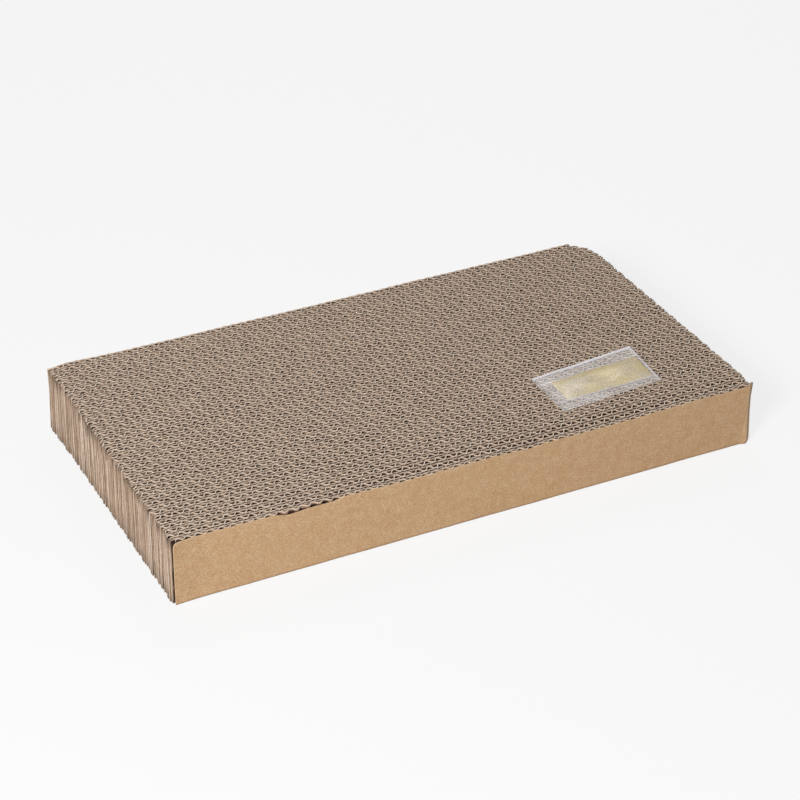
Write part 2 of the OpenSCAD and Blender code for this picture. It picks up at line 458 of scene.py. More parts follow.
@dataclass(frozen=True)
class KraftPaper:
    """Unbleached kraft liner: smooth, matt and warm brown, with faint clouds and short fibres.

    Clouds of 5 mm are what the paper's forming leaves. The fibres are drawn 0.8 mm wide, which
    is coarser than real. A pale line along the crease at the front's right end is a painted
    highlight.
    """

    name: str = "kraft liner"
    brown: str = "#C49F77"
    pale: str = "#CDAD88"
    dark: str = "#A17C55"
    crease_highlight: str = "#CDBBA2"
    cloud: float = 5.0
    fibre: float = 0.8
    fibre_stretch: float = 0.75
    specks: tuple[float, float, float] = (0.4, 0.66, 0.9)
    # Distances from the crease where its painted highlight starts and is full, and how strong it
    # is
    crease: tuple[float, float, float] = (0.7, 0.15, 0.45)

    def material(self) -> bpy.types.Material:
        """Make the finish of a kraft face.

        Returns:
            The material.
        """
        material, tree, output = empty_material(self.name)
        place = add_node(tree, "ShaderNodeTexCoord").outputs["Object"]
        clouds = mottle(tree, place, self.cloud, 4.0, 0.6)
        stretched = add_node(tree, "ShaderNodeMapping", {
            "Vector": place, "Scale": (self.fibre_stretch, 1.0, 1.0)}).outputs[0]
        fibres = mottle(tree, stretched, self.fibre, 3.0, 0.7)
        ground = blend(tree, ramp(tree, clouds, 0.35, 0.65), linear(self.brown),
                       linear(self.pale))
        start, end, most = self.specks
        speckled = blend(tree, ramp(tree, fibres, start, end, 0.0, most), ground,
                         linear(self.dark))
        over = add_node(tree, "ShaderNodeSeparateXYZ", {
            0: add_node(tree, "ShaderNodeUVMap", uv_map="cut").outputs[0]}).outputs["X"]
        # A painted highlight along the crease at the front's right end
        start, end, most = self.crease
        crease = ramp(tree, combine(tree, "ABSOLUTE", over), start, end, 0.0, most)
        colour = blend(tree, crease, speckled, linear(self.crease_highlight))
        matt_surface(tree, output, colour, fibres, 0.35, 0.2, 0.75)
        return material


@dataclass(frozen=True)
class ClearFilm:
    """Clear polypropylene film: glossy over the filling, frosted and marked with scuffs on its
    seals.

    The eye sees the papers through it, a soft glare and whitish seals. The white lines along the
    serrated edge, the right-hand fold and the chamber's rims are painted highlights, laid into the
    frost. Each range says where a part of the pouch starts and ends, as shares along or across it,
    and how frosted it is or how strong its painted highlight is. The scuffs of the end seal are
    drawn 0.9 mm wide, coarser than real.
    """

    tint: str = "#F1EDF2"
    clear_alpha: float = 0.04
    frost_alpha: float = 0.85
    gloss: float = 0.3
    shine: float = 0.07
    speck: float = 0.9
    end_seal: tuple[float, float] = (0.125, 0.105)
    end_frost: float = 0.05
    front_seal: tuple[float, float, float] = (0.22, 0.17, 0.035)
    rear_seal: tuple[float, float, float] = (0.78, 0.82, 0.03)
    # The serrated edge and the right-hand fold: where their painted highlights start and are full,
    # and how strong they are
    teeth: tuple[float, float, float] = (0.955, 0.975, 3.0)
    fold: tuple[float, float, float] = (0.98, 0.99, 0.35)
    # The chamber's rear and front rims, with thin painted highlights along them: the slant, the
    # place at the left end and the strength
    rims: tuple[tuple[float, float, float], ...] = ((0.0257, 0.779, 0.9), (0.1027, 0.2441, 0.5))
    rim_width: tuple[float, float] = (0.016, 0.004)
    # How fine the ribs are along and across the pouch, and between what shares the frosting and
    # the painted highlights vary
    ribs: tuple[float, float, float] = (3.0, 60.0, 1.0)
    mottled: tuple[float, float] = (0.1, 1.9)

    def material(self) -> bpy.types.Material:
        """Make the film's finish, which reads the pouch's own UV map.

        Returns:
            The material.
        """
        material, tree, output = empty_material("clear film")
        uv = add_node(tree, "ShaderNodeUVMap", uv_map="pouch").outputs[0]
        lengthwise, crosswise, _ = add_node(tree, "ShaderNodeSeparateXYZ", {0: uv}).outputs
        place = add_node(tree, "ShaderNodeTexCoord").outputs["Object"]
        specks = mottle(tree, place, self.speck, 2.0)
        drawn = add_node(tree, "ShaderNodeMapping", {"Vector": uv, "Scale": self.ribs})
        ribs = add_node(tree, "ShaderNodeTexNoise", {
            "Vector": drawn.outputs[0], "Scale": 1.0, "Detail": 2.0}).outputs[0]
        pattern = add_node(tree, "ShaderNodeMix", {
            0: ramp(tree, lengthwise, *self.end_seal), 2: ribs, 3: specks}).outputs[0]
        # One mask gathers the seals' frost and the painted highlights of the serrated edge, the
        # fold and the chamber's rims
        seals = ramp(tree, lengthwise, *self.end_seal, 0.0, self.end_frost)
        for across, (start, end, strong) in (
            (crosswise, self.front_seal), (crosswise, self.rear_seal),
            (crosswise, self.teeth), (lengthwise, self.fold),
        ):
            seals = combine(tree, "MAXIMUM", seals, ramp(tree, across, start, end, 0.0, strong))
        # Thin painted highlights along the chamber's rear and front rims
        for slant, start, strong in self.rims:
            level = add_node(tree, "ShaderNodeMath", {0: lengthwise, 1: slant, 2: crosswise},
                             operation="MULTIPLY_ADD").outputs[0]
            off = combine(tree, "ABSOLUTE", combine(tree, "SUBTRACT", level, start))
            seals = combine(tree, "MAXIMUM", seals,
                            ramp(tree, off, *self.rim_width, 0.0, strong))
        frost_and_highlights = combine(tree, "MULTIPLY", seals,
                        ramp(tree, pattern, 0.35, 0.65, *self.mottled))
        alpha = ramp(tree, frost_and_highlights, 0.0, 1.0, self.clear_alpha, self.frost_alpha, clamp=True)
        shader = add_node(tree, "ShaderNodeBsdfPrincipled", {
            "Base Color": linear(self.tint), "Roughness": self.gloss, "IOR": 1.49,
            "Alpha": alpha})
        shine = add_node(tree, "ShaderNodeBsdfGlossy", {"Roughness": self.gloss})
        glossy = add_node(tree, "ShaderNodeMixShader", {
            0: self.shine, 1: shader.outputs[0], 2: shine.outputs[0]})
        tree.links.new(glossy.outputs[0], output.inputs[0])
        return material


@dataclass(frozen=True)
class GroundCatnip:
    """Finely ground dried catnip: a pale straw powder with greener and browner grains.

    Real grains are about 0.2 to 0.5 mm. They are drawn 0.7 mm wide, coarser than real, and the
    powder drifts to grey over about 22 mm.
    """

    straw: str = "#F2DEA8"
    grain: str = "#B09A62"
    grey: str = "#E6DBC4"
    grit: float = 0.7
    drift: float = 22.0

    def material(self) -> bpy.types.Material:
        """Make the powder's finish.

        Returns:
            The material.
        """
        material, tree, output = empty_material("ground catnip")
        place = add_node(tree, "ShaderNodeTexCoord").outputs["Object"]
        grains = mottle(tree, place, self.grit, 3.0, 0.7)
        drifted = ramp(tree, mottle(tree, place, self.drift, 1.0), 0.4, 0.6)
        ground = blend(tree, drifted, linear(self.straw), linear(self.grey))
        colour = blend(tree, ramp(tree, grains, 0.42, 0.62), ground, linear(self.grain))
        matt_surface(tree, output, colour, grains, 0.5, 0.2, 0.95)
        return material


@dataclass(frozen=True)
class Split:
    """A place at the left end where two strips have come apart."""

    y: float
    middle: float
    reach: float
    opening: float
    depth: float = 10.0


@dataclass(frozen=True)
class PadWear:
    """How the real pad departs from straight rows: wavy, bent at a corner, and split."""

    half_length: float
    half_width: float
    height: float
    # How far rows wave, the top's unevenness, the rise at the left end, the bend and the drop
    # of the front right and rear left corners, the foot's spread and the rear sheet's drop
    row_wave: float = 0.2
    edge_step: float = 0.3
    left_rise: float = 0.5
    corner_bend: float = 1.0
    corner_drop: float = 1.6
    foot_spread: float = 1.0
    rear_drop: float = 1.6
    # How far in from the edges these reach: rows that lie still, the left end's rise, the drop
    # (along and across), the front's wear, and the foot's spread at the rear and all over
    still_rim: float = 12.0
    rise_reach: tuple[float, float] = (70.0, 10.0)
    drop_reach: tuple[float, float] = (14.0, 22.0)
    wear_reach: float = 18.0
    splay_reach: float = 40.0
    foot_reach: float = 30.0
    # Places along and across the pad where the front right bend starts, and across it the rear's
    # spread
    bend_from: tuple[float, float] = (172.0, 88.0)
    splay_from: float = 60.0
    # Share of the sheet's wear that the strips behind it take, and how much less at the tear
    wear_share: float = 0.9
    torn_share: float = 0.8
    # Where along the front edge the torn part starts and ends
    torn: tuple[float, float, float, float] = (-156, -144, -108, -96)
    right_ends: tuple[tuple[float, float], ...] = ()
    front_top: tuple[tuple[float, float], ...] = (
        (-215, 48.2), (-160, 47.9), (-146, 47.3), (-134, 45.1), (-119, 45.9), (-106, 45.9),
        (-93, 47.5), (-79, 46.9), (-52, 46.3), (14, 46.3), (28, 45.7), (41, 45.0), (54, 45.9),
        (121, 45.8), (135, 46.3), (174, 47.1), (188, 46.4), (215, 46.8),
    )
    splits: tuple[Split, ...] = (
        Split(y=-94.8, middle=25.0, reach=11.0, opening=1.5),
        Split(y=-100.3, middle=7.0, reach=9.0, opening=1.2),
        Split(y=-61.8, middle=12.0, reach=15.0, opening=0.9),
    )

    def front_wear(self, x: float) -> float:
        """How far the first strips are worn down along the front edge, as is the sheet there.

        Args:
            x: place along the edge.

        Returns:
            The wear, in millimetres.
        """
        start, full, fading, end = self.torn
        torn = smooth_step(x, start, full) * smooth_step(x, end, fading)
        worn = max(self.height - along(self.front_top, x), 0.0)
        return worn * (self.wear_share - self.torn_share * torn)

    def bare(self, x: float) -> float:
        """How much of the first strip's flutes shows above the front sheet's worn top edge."""
        return self.height - self.front_wear(x) - along(self.front_top, x)

    def settle(self, x: float, y: float, z: float) -> Vector:
        """Move a point of a straight pad to where it lies on the worn one.

        Args:
            x: its place along the strips, in millimetres.
            y: its place across the strips.
            z: its height.

        Returns:
            The point on the worn pad.
        """
        up = z / self.height
        inner = 1 - smooth_step(abs(y), self.half_width - self.still_rim, self.half_width)
        shift = self.row_wave * inner * ripple(x / 65, y / 38, 3.1)
        rise = self.edge_step * up**6 * ripple(x / 34, y / 11, 7.7)
        from_left = x + self.half_length
        back = smooth_step(y, -self.half_width, self.half_width)
        rise += up * self.left_rise * (1 + back) * smooth_step(from_left, *self.rise_reach)
        bend_x, bend_y = self.bend_from
        shift += (self.corner_bend * smooth_step(x, bend_x, self.half_length)
                  * smooth_step(-y, bend_y, self.half_width))
        drop_x, drop_y = self.drop_reach
        corner = (smooth_step(from_left, drop_x, 0)
                  * smooth_step(y, self.half_width - drop_y, self.half_width))
        rise -= self.corner_drop * up * corner
        rise -= self.front_wear(x) * up * smooth_step(
            -y, self.half_width - self.wear_reach, self.half_width - 1)
        splay = (smooth_step(from_left, self.splay_reach, 0)
                 * smooth_step(y, self.splay_from, self.half_width))
        flared = 0.9 * smooth_step(from_left, self.foot_reach, 0)
        x -= self.foot_spread * (splay + flared) * (1 - up)
        for split in self.splits:
            high = 1 - ((z - split.middle) / split.reach) ** 2
            near = 1 - max(from_left, 0.0) / split.depth
            if high > 0 and near > 0:
                side = 1 if y > split.y else -1
                fade = math.exp(-abs(y - split.y) / 5)
                shift += side * split.opening / 2 * high * near * near * fade
        return Vector((x, y + shift, z + rise))


@dataclass(frozen=True)
class DoubleWallBoard:
    """Sizes of the board that the strips are cut from, in millimetres."""

    liner: float = 0.3
    wide_rise: float = 3.1
    wide_pitch: float = 7.9
    narrow_rise: float = 1.6
    narrow_pitch: float = 6.27
    outer_crush: float = 0.8

    def thickness(self) -> float:
        """Thickness of the whole board, which is one row on the pad's top."""
        return 3 * self.liner + self.wide_rise + self.narrow_rise


@dataclass(frozen=True)
class FlutedPaper:
    """One fluted paper of a strip: its place behind the strip's front, its rise and its waves."""

    near: float
    rise: float
    pitch: float
    start: float
    cuts: int = 10


@dataclass
class CorrugatedStrip:
    """One strip of double-wall board on edge: three flat liners and two fluted papers."""

    number: int
    left: float
    right: float
    front: float
    wear: PadWear
    board: DoubleWallBoard = DoubleWallBoard()
    is_first: bool = False
    is_last: bool = False
    first_sunk: float = 2.8
    # Sizes of the painted shade: a depth that sets it on bare outer flutes, and how much faster it
    # comes on in the narrow slots
    lit_depth: float = 1.2
    narrow_shade: float = 7.5
    paper: float = 0.23
    # Thickness of the torn fibres on the wide papers' cut edges, and the others' shares of it
    burr: float = 0.75
    narrow_burr: float = 0.18
    liner_burr: float = 0.24
    # How square the flutes' waves are, and how much their crests keep clear of the liners
    square: float = 1.25
    crest_gap: float = 0.25
    # How much smaller than full some flutes are, as a share, and how far they drift
    flute_fade: float = 0.12
    flute_drift: float = 0.35
    # The top edge: its roughness, and how far and how much it is rounded off at the ends
    top_rough: float = 0.22
    worn_end: float = 2.2
    left_rounding: float = 0.8
    right_rounding: float = 0.3
    # The ends: how raggedly they are sawn, how much shorter the first strip's foot is, how far
    # and how much crushed papers lean, and how far in the first flutes are sunk, which near the
    # left end also deepens the painted shade on the first slot's liner
    left_ragged: float = 0.35
    right_ragged: float = 0.12
    foot_short: float = 3.5
    curl_reach: float = 5.0
    curl_lean: float = 0.8
    sunk_reach: float = 12.0
    # The middle liner bulges by this much
    bulge: float = 0.14
    liner_columns: int = 64
    medium_rows: tuple[float, ...] = (0.0, 0.35, 0.7, 0.985, 1.0)
    liner_rows: tuple[float, ...] = (0.0, 0.2, 0.4, 0.6, 0.8, 0.985, 1.0)

    def fluted(self) -> tuple[FlutedPaper, FlutedPaper]:
        """Lay out the wide and the narrow fluted paper, crushed where they are outermost.

        Returns:
            The wide paper and the narrow one.
        """
        board = self.board
        wide = board.wide_rise - (board.outer_crush if self.is_first else 0)
        narrow = board.narrow_rise - (board.outer_crush if self.is_last else 0)
        return (
            FlutedPaper(board.liner, wide, board.wide_pitch, WIDE_STARTS[self.number - 1]),
            FlutedPaper(2 * board.liner + wide, narrow, board.narrow_pitch,
                        NARROW_STARTS[self.number - 1]),
        )

    def edge_height(self, x: float, y: float) -> float:
        """Height of the cut top edge, which is never quite level and worn down at its ends.

        Args:
            x: place along the strip.
            y: place across the pad.

        Returns:
            The height, in millimetres.
        """
        worn = max(1 - min(x - self.left, self.right - x) / self.worn_end, 0.0)
        rough = self.top_rough * ripple(x / 2.2, y / 1.3, self.number * 3.7)
        rounding = self.left_rounding if x < 0 else self.right_rounding
        return self.wear.height + rough - rounding * worn * worn

    def ragged(self, x: float, y: float, z: float) -> float:
        """How far a paper is longer or shorter than its strip, by the saw's run over the ends.

        Args:
            x: place along the strip.
            y: place across the pad.
            z: height.

        Returns:
            The shift along the strip, in millimetres.
        """
        if x < 0:
            end = smooth_step(x, self.left + 0.5, self.left)
            return self.left_ragged * end * ripple(y * 5.3, z / 9.0, self.number * 1.9)
        end = smooth_step(x, self.right - 8, self.right)
        rough = self.right_ragged * ripple(y * 5.3, z / 9.0, 2.9)
        if self.is_first:
            rough -= self.foot_short * (1 - z / self.wear.height)
        return end * (along(self.wear.right_ends, y) - self.right + rough)

    def curl(self, from_end: float, z: float, key: float) -> float:
        """How far a crushed end leans to one side, close to the end of a strip.

        Args:
            from_end: distance from the strip's nearest end.
            z: height.
            key: tells the strip's papers apart, so that each leans its own way.

        Returns:
            The shift across the pad, in millimetres.
        """
        if from_end > self.curl_reach:
            return 0.0
        lean = self.curl_lean * ripple(key * 3.1 + self.number * 2.3, z / 24.0, 5.5)
        return lean * (1 - from_end / self.curl_reach) ** 2

    def fluted_point(self, flute: FlutedPaper, across: float, up: float) -> Vector:
        """Place a point of a fluted paper.

        Args:
            flute: which fluted paper it is.
            across: share of the strip's length.
            up: share of its height.

        Returns:
            The point, in millimetres.
        """
        x = self.left + across * (self.right - self.left)
        turn = (x + self.wear.half_length) / flute.pitch - flute.start
        row = row_height(self.medium_rows, up)
        z = row * self.wear.height
        from_end = min(x - self.left, self.right - x)
        wave = -math.tanh(self.square * math.cos(math.tau * turn)) / math.tanh(self.square)
        size = min(1 + self.flute_fade * ripple(x / 9, self.front / 3, 1.1), 1.0)
        reach = size * (flute.rise - self.crest_gap) / 2
        y = self.front + flute.near + flute.rise / 2 + wave * reach
        x += self.flute_drift * ripple(x / 5, self.front, 2.2 + row)
        if up > 0.99:
            z = self.edge_height(x, y)
            y += 0.05 * flute.rise * ripple(x / 1.7, self.front, 4.4)
        y += self.curl(from_end, z, flute.near)
        x += self.ragged(x, y, z)
        if self.is_first and flute.near < 1:
            x += self.first_sunk * max(1 - from_end / self.sunk_reach, 0.0)
        return self.wear.settle(x, y, z)

    def liner_point(self, place: float, across: float, up: float) -> Vector:
        """Place a point of a flat liner, which bulges a little between its glue lines.

        Args:
            place: the liner's place from the strip's front.
            across: share of the strip's length.
            up: share of its height.

        Returns:
            The point, in millimetres.
        """
        x = self.left + self.spread(across) * (self.right - self.left)
        z = row_height(self.liner_rows, up) * self.wear.height
        from_end = min(x - self.left, self.right - x)
        y = self.front + place
        if 1 < place < 5:
            y += self.bulge * ripple(x / 6, z / 30, self.number + place)
        y += self.curl(from_end, z, place)
        if up > 0.99:
            z = self.edge_height(x, y)
        x += self.ragged(x, y, z)
        return self.wear.settle(x, y, z)

    def spread(self, across: float) -> float:
        """Bring a liner's columns closer together towards its ends."""
        return across - 0.11 * math.sin(math.tau * across)

    def shade(self, flute: FlutedPaper, x: float) -> float:
        """How much faster than in a wide slot the painted shade comes on over a fluted paper.

        Args:
            flute: which fluted paper it is.
            x: place along the strip, because a worn sheet leaves an outer flute bare.

        Returns:
            The rate, which is 1 inside a wide slot.
        """
        if self.is_first and flute.near < 1:
            return self.lit_depth / max(self.wear.bare(x), self.lit_depth)
        if self.is_last and flute.near > 1:
            return self.lit_depth / self.wear.rear_drop
        return 1.0 if flute.near < 1 else self.narrow_shade

    def cut_mark(self, across: float, row: float, tight: float,
                 deeper: float = 0.0) -> tuple[float, float]:
        """Give a point's depths below the cuts at the strip's nearest end and at its top, which
        set its painted shade.

        Args:
            across: share of the strip's length.
            row: share of its height.
            tight: how much faster than in a wide slot the painted shade comes on in the paper's
                slot.
            deeper: what the left end's painted shade adds, inside the open first slot.

        Returns:
            Both depths, in millimetres of a wide slot.
        """
        from_end = min(across, 1 - across) * (self.right - self.left)
        if deeper and from_end > 0.01 and across < 0.5:
            from_end += deeper
        return from_end, (1 - row) * self.wear.height * tight

    def build(self, materials: list[bpy.types.Material]) -> bpy.types.Object:
        """Make the strip and put it in the place of its CAD node.

        Args:
            materials: the fluted papers, the liners, and the cut edges of each.

        Returns:
            The strip's object.
        """
        bm = bmesh.new()
        wide, narrow = self.fluted()
        tight = self.narrow_shade
        for flute, fuzzy in ((wide, 1.0), (narrow, self.narrow_burr)):
            columns = math.ceil((self.right - self.left) / flute.pitch * flute.cuts)
            add_sheet(
                bm, columns, len(self.medium_rows) - 1,
                lambda across, up, f=flute: self.fluted_point(f, across, up),
                lambda across, up, f=flute: self.cut_mark(
                    across, row_height(self.medium_rows, up),
                    self.shade(f, self.left + across * (self.right - self.left))),
                fuzzy=fuzzy,
            )
        half = self.board.liner / 2
        # The first strip's middle liner gets deeper painted shade near the left end, inside the
        # open first slot
        liners = [(narrow.near - half, 1.0, self.first_sunk if self.is_first else 0.0)]
        if not self.is_first:
            liners.append((half, tight, 0.0))
        if not self.is_last:
            liners.append((narrow.near + narrow.rise + half, tight, 0.0))
        for place, faster, deeper in liners:
            add_sheet(
                bm, self.liner_columns, len(self.liner_rows) - 1,
                lambda across, up, p=place: self.liner_point(p, across, up),
                lambda across, up, t=faster, d=deeper: self.cut_mark(
                    self.spread(across), row_height(self.liner_rows, up), t, d),
                finish=1, fuzzy=self.liner_burr,
            )
        name = f"strip_{self.number:02d}"
        return finish_piece(bm, f"{name}_board", "pad", [name], materials,
                            wall=self.paper, burr=self.burr)


class Side(Enum):
    """The face of the pad that a kraft sheet covers: which way it looks along Y."""

    FRONT = -1
    REAR = 1


@dataclass
class KraftSheet:
    """A kraft face: lifted off at its left end, worn at its corners and along its top edge."""

    side: Side
    node: str
    left: float
    right: float
    inner: float
    wear: PadWear
    thickness: float = 0.42
    burr: float = 0.55
    peel_length: float = 26.0
    peel_gap: float = 1.5
    bent_length: float = 2.7
    bent_slope: float = 0.3
    flared_foot: float = 0.7
    ridge_foot: float = 5.0
    ridge_height: float = 27.0
    ridge_slope: float = 0.3
    worn_radius: float = 3.4
    foot: float = 0.35
    # Unevenness of the foot, the top, the face and the crease. The top and the face have waves
    # of two sizes.
    foot_rough: float = 0.15
    top_rough: tuple[float, float] = (0.16, 0.1)
    face_wave: tuple[float, float] = (0.18, 0.05)
    crease_wave: float = 0.25
    columns: int = 400
    rows: int = 26

    def corner_loss(self, from_end: float) -> float:
        """How much a worn corner takes off the sheet's height, close to its end.

        Args:
            from_end: distance from that end.

        Returns:
            The loss, in millimetres.
        """
        radius = self.worn_radius
        if from_end >= radius:
            return 0.0
        return radius - math.sqrt(radius**2 - (radius - from_end) ** 2)

    def bend(self, z: float) -> float:
        """Where the front sheet's right end is creased back, at a height."""
        return self.right - self.bent_length + self.crease_wave * ripple(z / 9, 3.3)

    def ridge_width(self, z: float) -> float:
        """Width of the raised wedge beside that crease, which fades out halfway up."""
        return self.ridge_foot * max(1 - z / self.ridge_height, 0.0)

    def run(self, across: float) -> float:
        """Turn a share of the sheet's length into a place, with points closer at its ends."""
        spread = across - 0.08 * math.sin(math.tau * across)
        return self.left + spread * (self.right - self.left)

    def mark(self, across: float, up: float) -> tuple[float, float]:
        """Give a point's place beyond the crease and its height, for the painted highlight along
        it.

        Args:
            across: share of the sheet's length.
            up: share of its height.

        Returns:
            Both, in millimetres. The rear sheet has no crease, and gets a place far from one.
        """
        z = up * self.wear.height
        if self.side is Side.REAR:
            return -self.right, z
        return self.run(across) - self.bend(z), z

    def point(self, across: float, up: float) -> Vector:
        """Place a point of the sheet's middle surface.

        Args:
            across: share of the sheet's length.
            up: share of its height.

        Returns:
            The point, in millimetres.
        """
        x = self.run(across)
        top = self.foot + self.wear.height
        low = self.foot + self.foot_rough * ripple(x / 20, 1.5)
        if self.side is Side.FRONT:
            top = along(self.wear.front_top, x)
            top -= self.corner_loss(x - self.left)
            low += self.corner_loss(self.right - x)
        else:
            top -= self.wear.rear_drop
        long_waves, short_waves = self.top_rough
        top += long_waves * ripple(x / 2.5, 9.1) + short_waves * ripple(x / 0.9, 2.3)
        z = low + up * (top - low)
        share = z / self.wear.height
        if self.side is Side.FRONT:
            x += self.flared_foot * (1 - share) * smooth_step(x, self.bend(z) - 1, self.right)
        off = max(1 - (x - self.left) / self.peel_length, 0.0)
        out = self.peel_gap * off**2 * (0.45 + 0.75 * share)
        long_waves, short_waves = self.face_wave
        out += (long_waves * ripple(x / 30, z / 16, 4.0)
                + short_waves * ripple(x / 6, z / 30, 8.0))
        if self.side is Side.FRONT:
            over = x - self.bend(z)
            out += self.ridge_slope * max(min(over, 0.0) + self.ridge_width(z), 0.0)
            out -= (self.bent_slope + self.ridge_slope) * max(over, 0.0)
        y = self.side.value * (self.inner + self.thickness / 2 + out)
        if self.side is Side.REAR:
            settled = self.wear.settle(x, y, z)
            return Vector((x, settled.y, settled.z))
        return Vector((x, y, z))

    def build(self, materials: list[bpy.types.Material]) -> bpy.types.Object:
        """Make the sheet and put it in the place of its CAD node.

        Args:
            materials: the sheet's face, and its cut edge.

        Returns:
            The sheet's object.
        """
        bm = bmesh.new()
        add_sheet(bm, self.columns, self.rows, self.point, self.mark)
        if self.side is Side.REAR:
            bmesh.ops.reverse_faces(bm, faces=bm.faces[:])
        return finish_piece(bm, f"{self.node}_sheet", "pad", [self.node], materials,
                            wall=self.thickness, burr=self.burr)


@dataclass
class Sachet:
    """A clear flat pouch of ground catnip: two films sealed round a thin bed of powder."""

    base: float
    front_left: Vector = Vector((79.4, -91.5, 0))
    front_right: Vector = Vector((160.7, -85.2, 0))
    rear_right: Vector = Vector((164.2, -36.7, 0))
    rear_left: Vector = Vector((79.9, -45.3, 0))
    length: float = 83.0
    width: float = 47.0
    fill_height: float = 2.4
    # Gap between the powder's top and the front film at full height, and how far the front film,
    # the powder's rim and its foot lie over the back film
    headroom: float = 0.3
    film_gap: float = 0.12
    powder_top: float = 0.1
    powder_foot: float = 0.05
    # How high the pouch lies over the pad, and how much it waves there
    lying: float = 0.35
    lying_wave: float = 0.3
    # The dip in the fill: its depth, its middle along and across the pouch, and its widths
    dip: tuple[float, ...] = (0.42, 0.53, 0.48, 0.14, 0.13)
    # The film's lumps, and its crease over the fill: its slant, where it starts and ends along
    # the pouch, its middle along and across it, half its width and its height
    lumps: float = 0.3
    crease_slant: float = 2.7
    crease_ends: tuple[float, float] = (0.14, 0.26)
    crease_middle: tuple[float, float] = (0.16, 0.56)
    crease_width: float = 0.1
    crease_height: float = 0.45
    # Shares of the pouch that its seals take: the front and rear ones, the end's and the teeth's
    side_seals: tuple[float, float] = (0.15, 0.8)
    end_seal: float = 0.11
    teeth_from: float = 0.9
    tooth_pitch: float = 2.0
    tooth_depth: float = 0.7
    rib_pitch: float = 1.7
    side_rib: float = 0.006
    end_rib: float = 0.003
    # The chamber's ends, and its front and rear rims at its left end with how they run in,
    # for the films and, a little smaller, for the powder
    film_chamber: tuple[float, ...] = (0.118, 0.975, 0.232, 0.776)
    powder_chamber: tuple[float, ...] = (0.122, 0.97, 0.236, 0.772)
    rims_slant: tuple[float, float] = (0.088, 0.022)
    # How far the films' left, right and rear edges stand up
    left_upturn: float = 0.3
    right_upturn: float = 0.12
    rear_upturn: float = 0.6

    def spot(self, along_share: float, across_share: float) -> Vector:
        """Find the spot on the pad that lies under a point of the pouch.

        Args:
            along_share: share along the pouch.
            across_share: share across it.

        Returns:
            The spot, in millimetres and at height 0.
        """
        front = self.front_left.lerp(self.front_right, along_share)
        rear = self.rear_left.lerp(self.rear_right, along_share)
        return front.lerp(rear, across_share)

    def chamber(self, s: float, t: float) -> tuple[float, float]:
        """Turn shares of the pouch into places in its filled chamber.

        Args:
            s: share along the pouch.
            t: share across it.

        Returns:
            The places along and across the chamber, each from -1 to 1.
        """
        start, end, front, rear = self.film_chamber
        front_slant, rear_slant = self.rims_slant
        share = (s - start) / (end - start)
        near, far = front - front_slant * share, rear - rear_slant * share
        return 2 * share - 1, 2 * (t - near) / (far - near) - 1

    def swell(self, s: float, t: float) -> float:
        """Tell how full the chamber is at a point.

        Args:
            s: share along the pouch.
            t: share across it.

        Returns:
            A share of the fill's height, from 0 at the chamber's rim and beyond to 1.
        """
        a, b = self.chamber(s, t)
        if abs(a) >= 1 or abs(b) >= 1:
            return 0.0
        deep, s_middle, t_middle, s_width, t_width = self.dip
        dip = deep * math.exp(-((s - s_middle) / s_width) ** 2 - ((t - t_middle) / t_width) ** 2)
        return (1 - abs(a) ** 5) * (1 - abs(b) ** 2.6) * (1 - dip)

    def lie(self, x: float, y: float) -> float:
        """Height at which the pouch lies on the pad, as it waves a little over the papers."""
        return self.base + self.lying + self.lying_wave * ripple(x / 18, y / 14, 6.0)

    def film_point(self, s: float, t: float, lift: float) -> Vector:
        """Place a point of one of the films.

        Args:
            s: share along the pouch, from its end seal to its fold.
            t: share across it, from front to rear.
            lift: 1 on the front film, which goes over the powder, or 0 on the back film.

        Returns:
            The point, in millimetres.
        """
        place = self.spot(s, t)
        if t > self.teeth_from:
            turn = s * self.length / self.tooth_pitch
            tooth = abs(2 * (turn - math.floor(turn)) - 1)
            place.y -= self.tooth_depth * tooth * smooth_step(t, self.teeth_from, 1.0)
        height = self.lie(place.x, place.y) + self.film_gap * lift
        height += lift * self.fill_height * self.swell(s, t)
        front_seal, rear_seal = self.side_seals
        if t > rear_seal or t < front_seal:
            height += self.side_rib * math.sin(math.tau * t * self.width / self.rib_pitch)
        if s < self.end_seal:
            height += self.end_rib * math.sin(math.tau * s * self.length / self.rib_pitch)
        if lift:
            start, end = self.crease_ends
            s_middle, t_middle = self.crease_middle
            off = abs(self.crease_slant * (s - s_middle) + t - t_middle) / self.crease_width
            if start < s < end and off < 1:
                height += self.crease_height * (1 - off) * self.swell(s, t)
            height += self.lumps * self.swell(s, t) * ripple(s * 7, t * 4, 1.0)
        edge = min(s, 1 - s) * self.length
        upturn = self.left_upturn if s < 0.5 else self.right_upturn
        height += upturn * smooth_step(edge, 3, 0) * (0.5 + ripple(place.y / 9, 0.0, 2.0))
        height += self.rear_upturn * smooth_step(t, 0.95, 1.0)
        return Vector((place.x, place.y, height))

    def film(self, name: str, node: str, lift: float, material: bpy.types.Material) -> None:
        """Make one film, with a UV map that follows the pouch.

        Args:
            name: the piece's name.
            node: the CAD node that it stands for.
            lift: 1 for the front film, or 0 for the back one.
            material: its finish.
        """
        bm = bmesh.new()
        add_sheet(bm, 166, 94, lambda s, t: self.film_point(s, t, lift),
                  lambda s, t: (s, t), uv_name="pouch")
        finish_piece(bm, name, "sachet", [node], [material])

    def powder(self, material: bpy.types.Material) -> None:
        """Make the bed of powder as a closed low mound inside the chamber.

        Args:
            material: its finish.
        """
        bm = bmesh.new()

